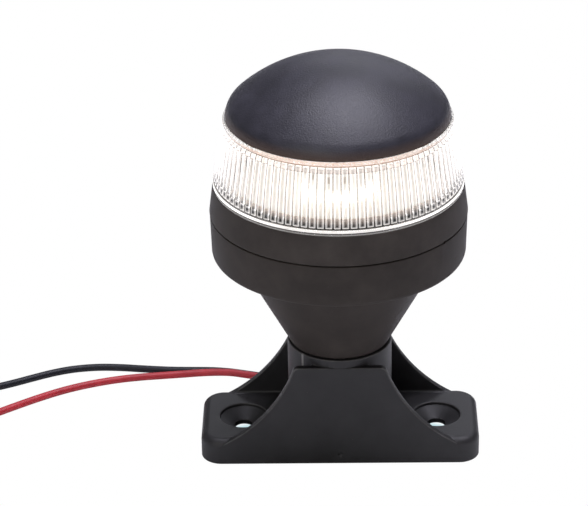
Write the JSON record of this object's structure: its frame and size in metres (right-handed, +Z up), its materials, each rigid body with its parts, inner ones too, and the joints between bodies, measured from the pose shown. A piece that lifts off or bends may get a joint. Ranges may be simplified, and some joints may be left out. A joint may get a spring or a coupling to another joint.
{
  "type": "navigation light",
  "caption": "All-round navigation light: clear ribbed lens under a domed black cap, black housing with conical neck, pedestal base with countersunk screw wells and two loose leads.",
  "frame": {"origin": "centre of the mounting base's underside", "axes": "+Z up along the lens axis, +X along the base plate's long side, -Y towards the front"},
  "size_m": [0.177, 0.0778, 0.119],
  "materials": {
    "base_black": "moulded nylon, light texture",
    "housing_black": "moulded, satin",
    "bezel_black": "moulded, satin",
    "cap_black": "fine-grained satin",
    "clear_lens": "clear polycarbonate",
    "seal_rubber": "matte",
    "gasket_silicone": "translucent white silicone",
    "stainless": "satin",
    "nut_nylon": "matte",
    "column_aluminium": "machined",
    "led_board_white": "solder mask",
    "led_package": "moulded",
    "led_glow": "lit silicone dome",
    "tinned_copper": "tinned strands",
    "reflector_white": "gloss white",
    "board_green": "solder mask",
    "capacitor_can": "satin",
    "component_dark": "moulded",
    "lead_red": "satin PVC",
    "lead_black": "satin PVC"
  },
  "bodies": {
    "light_base": {"mounting_base": "base_black", "lower_housing": "housing_black", "lens_oring": "seal_rubber", "neck_oring": "seal_rubber", "neck_washer": "stainless", "neck_nut": "nut_nylon", "cable_grommet": "seal_rubber", "heat_spreader": "column_aluminium", "spreader_screws": "stainless", "led_post": "column_aluminium", "post_screws": "stainless", "led_boards": "led_board_white", "led_packages": "led_package", "led_domes": "led_glow", "led_resistors": "component_dark", "led_feed_wires": "tinned_copper", "lower_reflector": "reflector_white", "top_reflector": "reflector_white", "reflector_screws": "stainless", "driver_board": "board_green", "driver_screws": "stainless", "driver_capacitors": "capacitor_can", "driver_coil": "component_dark", "driver_chip": "component_dark", "driver_diodes": "component_dark", "driver_resistors": "component_dark", "solder_joints": "tinned_copper", "inner_lead_red": "lead_red", "inner_lead_black": "lead_black", "red_lead": "lead_red", "black_lead": "lead_black", "red_conductor": "tinned_copper", "black_conductor": "tinned_copper"},
    "head": {"bezel_ring": "bezel_black", "lens": "clear_lens", "top_cap": "cap_black", "cap_gasket": "gasket_silicone"}
  },
  "joints": [
    {"name": "head_twist", "type": "hinge", "parent": "light_base", "child": "head", "pos_m": [0, 0, 0.0766], "axis": [0, 0, 1], "range_deg": [0, 20]}
  ]
}
